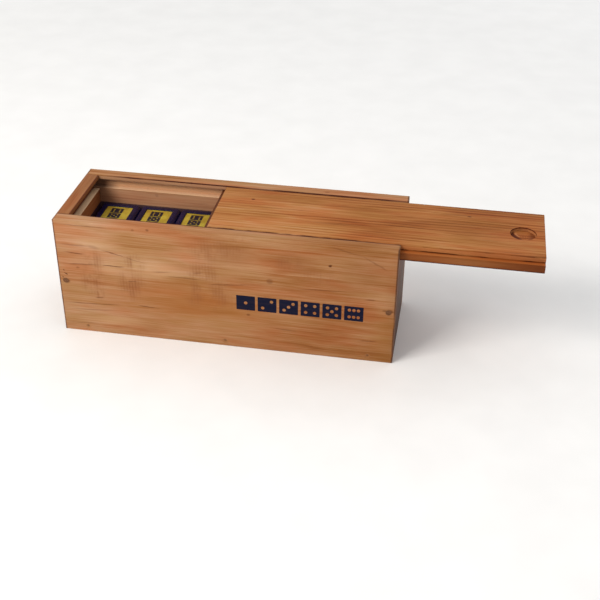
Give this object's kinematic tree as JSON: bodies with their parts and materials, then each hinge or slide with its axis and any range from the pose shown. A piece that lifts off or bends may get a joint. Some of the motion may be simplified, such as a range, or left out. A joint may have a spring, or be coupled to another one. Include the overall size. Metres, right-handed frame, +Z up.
{
  "type": "domino storage box",
  "caption": "Long wooden box with a sliding lid and a finger recess, holding stacked layers of spinner dominoes.",
  "frame": {"origin": "centre of the box's underside, with the lid's overhang left out", "axes": "+X along the box, the way the lid slides out; +Y from the front panel to the back panel; +Z up"},
  "size_m": [0.2863, 0.069, 0.0777],
  "materials": {
    "pine_panel": "thin clear lacquer on planed pine",
    "pine_board": "planed pine, lightly lacquered",
    "pine_lid": "thin clear lacquer on planed pine, a warmer board",
    "nail_steel": "plain drawn wire",
    "wood_filler": "brown wood filler, sanded flush",
    "blue_resin": "polished urea resin",
    "yellow_label": "printed foil label",
    "amber_resin": "polished resin",
    "ivory_resin": "polished urea resin",
    "black_enamel": "enamel filled flush",
    "steel": "polished steel"
  },
  "bodies": {
    "box": {"front_panel": "pine_panel", "back_panel": "pine_panel", "left_end_panel": "pine_panel", "right_end_panel": "pine_panel", "bottom_panel": "pine_board", "front_nails": "nail_steel", "back_nails": "nail_steel", "front_plugs": "wood_filler", "back_plugs": "wood_filler", "layer_4_backs": "blue_resin", "layer_4_labels": "yellow_label", "layer_4_cores": "amber_resin", "layer_4_faces": "ivory_resin", "layer_4_marks": "black_enamel", "layer_4_pins": "steel", "layer_3_backs": "blue_resin", "layer_3_labels": "yellow_label", "layer_3_cores": "amber_resin", "layer_3_faces": "ivory_resin", "layer_3_marks": "black_enamel", "layer_3_pins": "steel", "layer_2_backs": "blue_resin", "layer_2_labels": "yellow_label", "layer_2_cores": "amber_resin", "layer_2_faces": "ivory_resin", "layer_2_marks": "black_enamel", "layer_2_pins": "steel", "layer_1_backs": "blue_resin", "layer_1_labels": "yellow_label", "layer_1_cores": "amber_resin", "layer_1_faces": "ivory_resin", "layer_1_marks": "black_enamel", "layer_1_pins": "steel"},
    "lid": {"lid": "pine_lid"},
    "domino_1": {"domino_1_back": "blue_resin", "domino_1_label": "yellow_label", "domino_1_core": "amber_resin", "domino_1_face": "ivory_resin", "domino_1_marks": "black_enamel", "domino_1_pin": "steel"},
    "domino_2": {"domino_2_back": "blue_resin", "domino_2_label": "yellow_label", "domino_2_core": "amber_resin", "domino_2_face": "ivory_resin", "domino_2_marks": "black_enamel", "domino_2_pin": "steel"},
    "domino_3": {"domino_3_back": "blue_resin", "domino_3_label": "yellow_label", "domino_3_core": "amber_resin", "domino_3_face": "ivory_resin", "domino_3_marks": "black_enamel", "domino_3_pin": "steel"}
  },
  "joints": [
    {"name": "lid_slide", "type": "slide", "parent": "box", "child": "lid", "axis": [1, 0, 0], "range_m": [-0.0828, 0.12]},
    {"name": "domino_1_lift", "type": "slide", "parent": "box", "child": "domino_1", "axis": [0, 0, 1], "range_m": [0, 0.009]},
    {"name": "domino_2_lift", "type": "slide", "parent": "box", "child": "domino_2", "axis": [0, 0, 1], "range_m": [0, 0.009]},
    {"name": "domino_3_lift", "type": "slide", "parent": "box", "child": "domino_3", "axis": [0, 0, 1], "range_m": [0, 0.009]}
  ]
}
